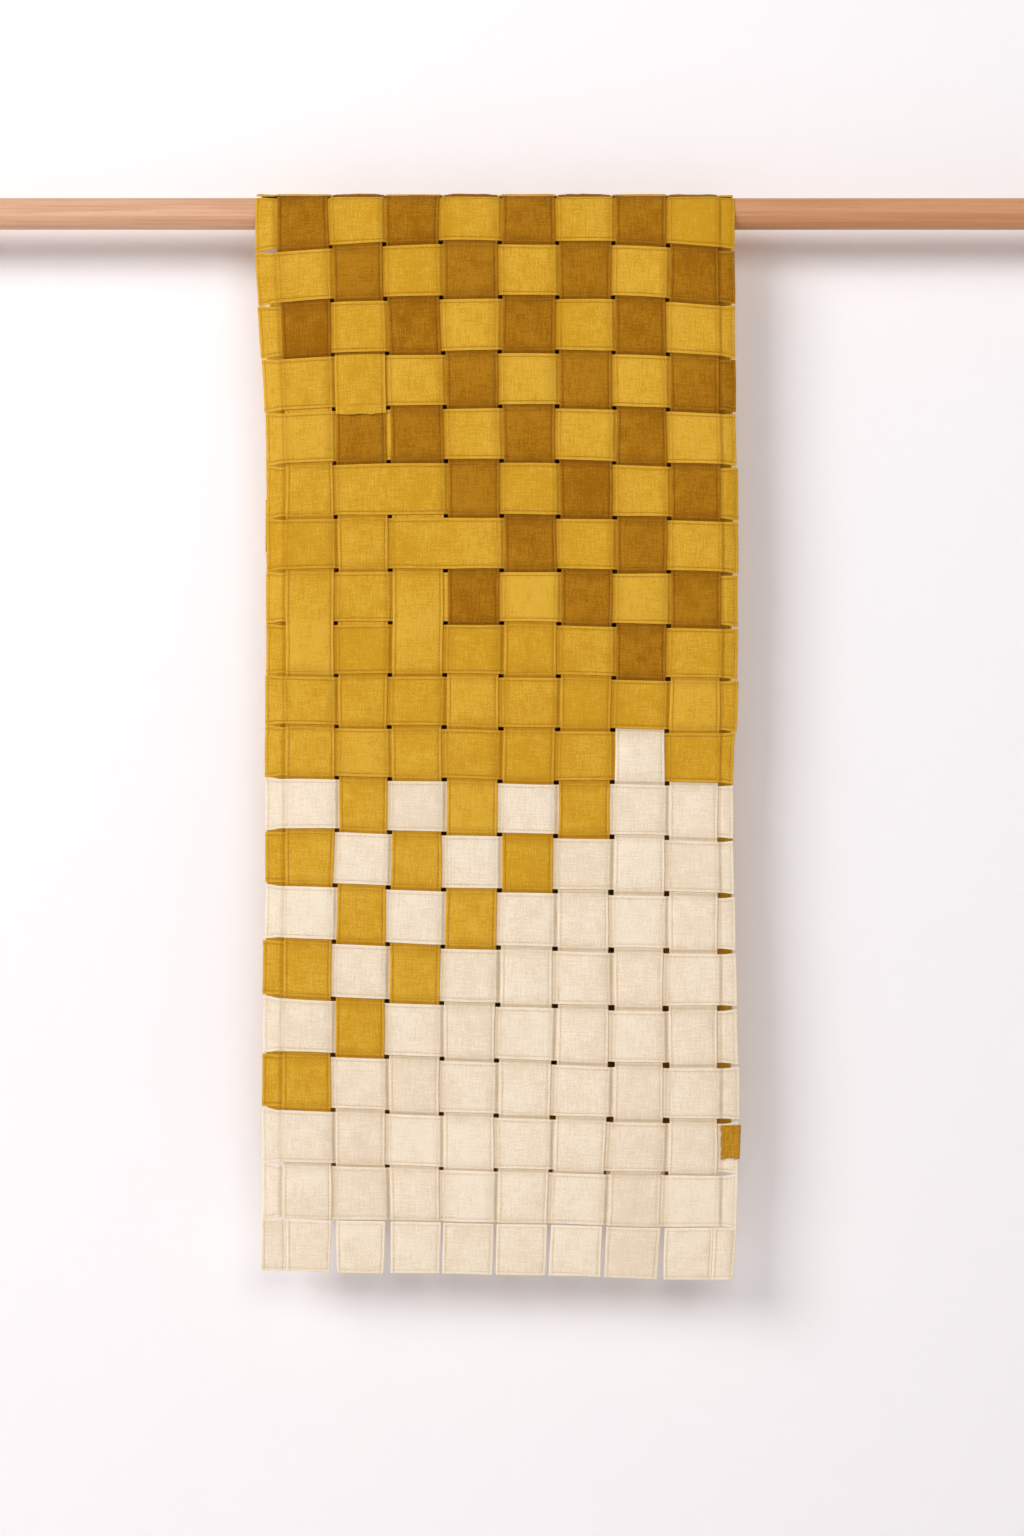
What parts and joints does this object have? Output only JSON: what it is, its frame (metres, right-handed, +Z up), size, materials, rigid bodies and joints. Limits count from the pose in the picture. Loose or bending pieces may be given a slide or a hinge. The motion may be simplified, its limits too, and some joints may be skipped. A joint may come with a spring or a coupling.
{
  "type": "woven wall hanging",
  "caption": "Woven wall hanging of folded linen strips in a plain weave, draped double over a round wooden rod, with loose strip tails along its lower edge.",
  "frame": {"origin": "middle of the rod's axis, where the hooks or cups that hold the rod have their common line", "axes": "+X along the rod, -Y out of the wall towards the room, +Z up"},
  "size_m": [1, 0.0321, 0.8762],
  "materials": {
    "rod_wood": "sanded beech, unvarnished",
    "linen_ochre": "matte linen, ochre brown",
    "linen_mustard": "matte linen, mustard",
    "linen_cream": "matte linen, undyed cream"
  },
  "bodies": {
    "rod": {"rod": "rod_wood"},
    "top_roll": {"crown_strips_odd": "linen_ochre", "crown_strips_even": "linen_ochre", "top_weft": "linen_mustard", "weft_01": "linen_mustard"},
    "front_leaf": {"warp_1_ochre": "linen_ochre", "warp_2_ochre": "linen_ochre", "warp_3_ochre": "linen_ochre", "warp_4_ochre": "linen_ochre", "warp_5_ochre": "linen_ochre", "warp_6_ochre": "linen_ochre", "warp_7_ochre": "linen_ochre", "warp_8_ochre": "linen_ochre", "warp_1_mustard": "linen_mustard", "warp_2_mustard": "linen_mustard", "warp_3_mustard": "linen_mustard", "warp_4_mustard": "linen_mustard", "warp_5_mustard": "linen_mustard", "warp_6_mustard": "linen_mustard", "warp_8_mustard": "linen_mustard", "warp_1_cream": "linen_cream", "warp_2_cream": "linen_cream", "warp_3_cream": "linen_cream", "warp_4_cream": "linen_cream", "warp_5_cream": "linen_cream", "warp_6_cream": "linen_cream", "warp_7_cream": "linen_cream", "warp_8_cream": "linen_cream", "weft_02": "linen_mustard", "weft_03": "linen_mustard", "weft_04": "linen_mustard", "weft_05": "linen_mustard", "weft_06": "linen_mustard", "weft_07": "linen_mustard", "weft_08": "linen_mustard", "weft_09": "linen_mustard", "weft_10": "linen_mustard", "weft_11": "linen_mustard", "weft_12": "linen_cream", "weft_13": "linen_cream", "weft_14": "linen_cream", "weft_15": "linen_cream", "weft_16": "linen_cream", "weft_17": "linen_cream", "weft_18": "linen_cream", "weft_19": "linen_cream", "weft_02_ochre_end": "linen_ochre", "weft_04_ochre_end": "linen_ochre", "weft_13_mustard_end": "linen_mustard", "weft_15_mustard_end": "linen_mustard", "weft_17_mustard_end": "linen_mustard", "lapped_end": "linen_mustard", "edge_mend": "linen_mustard", "tail_side_left": "linen_cream", "tail_side_right": "linen_cream"},
    "back_leaf": {"back_warps_odd": "linen_ochre", "back_warps_even": "linen_ochre", "back_wefts_odd": "linen_mustard", "back_wefts_even": "linen_mustard"}
  },
  "joints": [
    {"name": "slide_along_rod", "type": "slide", "parent": "rod", "child": "top_roll", "axis": [1, 0, 0], "range_m": [-0.25, 0.25]},
    {"name": "front_leaf_lift", "type": "hinge", "parent": "top_roll", "child": "front_leaf", "pos_m": [0, -0.0156, -0.0301], "axis": [-1, 0, 0], "range_deg": [0, 75]},
    {"name": "back_leaf_lift", "type": "hinge", "parent": "top_roll", "child": "back_leaf", "pos_m": [0, 0.0156, -0.01257], "axis": [1, 0, 0], "range_deg": [0, 75]}
  ]
}
